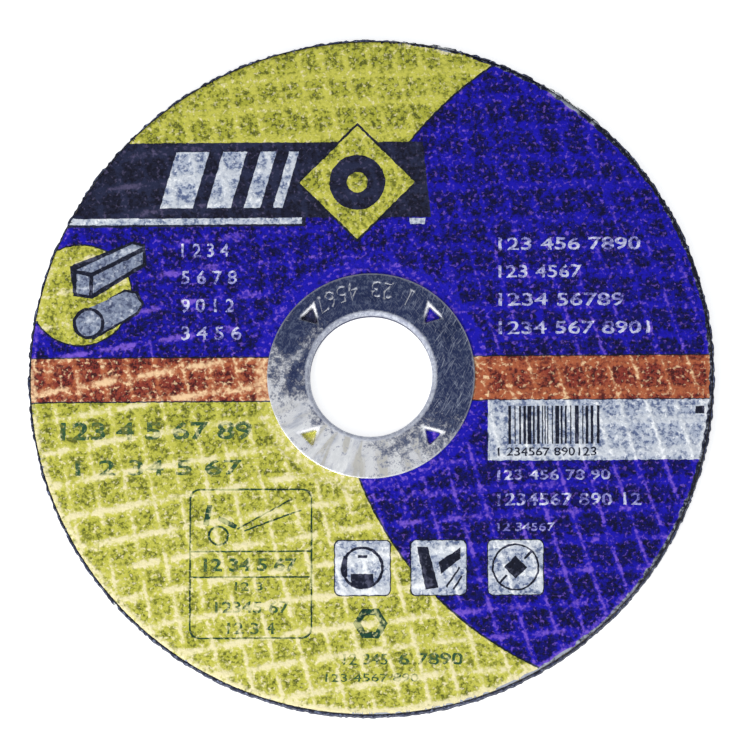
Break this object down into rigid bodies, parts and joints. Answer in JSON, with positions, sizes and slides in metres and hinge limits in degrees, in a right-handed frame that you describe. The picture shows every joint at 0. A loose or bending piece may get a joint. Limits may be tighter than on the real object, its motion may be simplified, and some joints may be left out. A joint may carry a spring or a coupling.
{
  "type": "cut off wheel",
  "caption": "Thin round abrasive wheel for an angle grinder, with a printed label, glass nets and a steel ring in its bore.",
  "frame": {"origin": "on the wheel's axis, in the plane of its rear face", "axes": "+Z along the axis, out of the labelled face; +Y towards the top of the label"},
  "size_m": [0.125, 0.125, 0.0026],
  "materials": {
    "abrasive_grit": "rough",
    "resin_glass_net": "matte",
    "printed_label": "satin",
    "pressed_steel": "polished"
  },
  "bodies": {
    "root": {"abrasive_body": "abrasive_grit", "rear_glass_net": "resin_glass_net", "front_glass_net": "resin_glass_net", "front_label": "printed_label", "arbor_ring": "pressed_steel"}
  },
  "joints": []
}
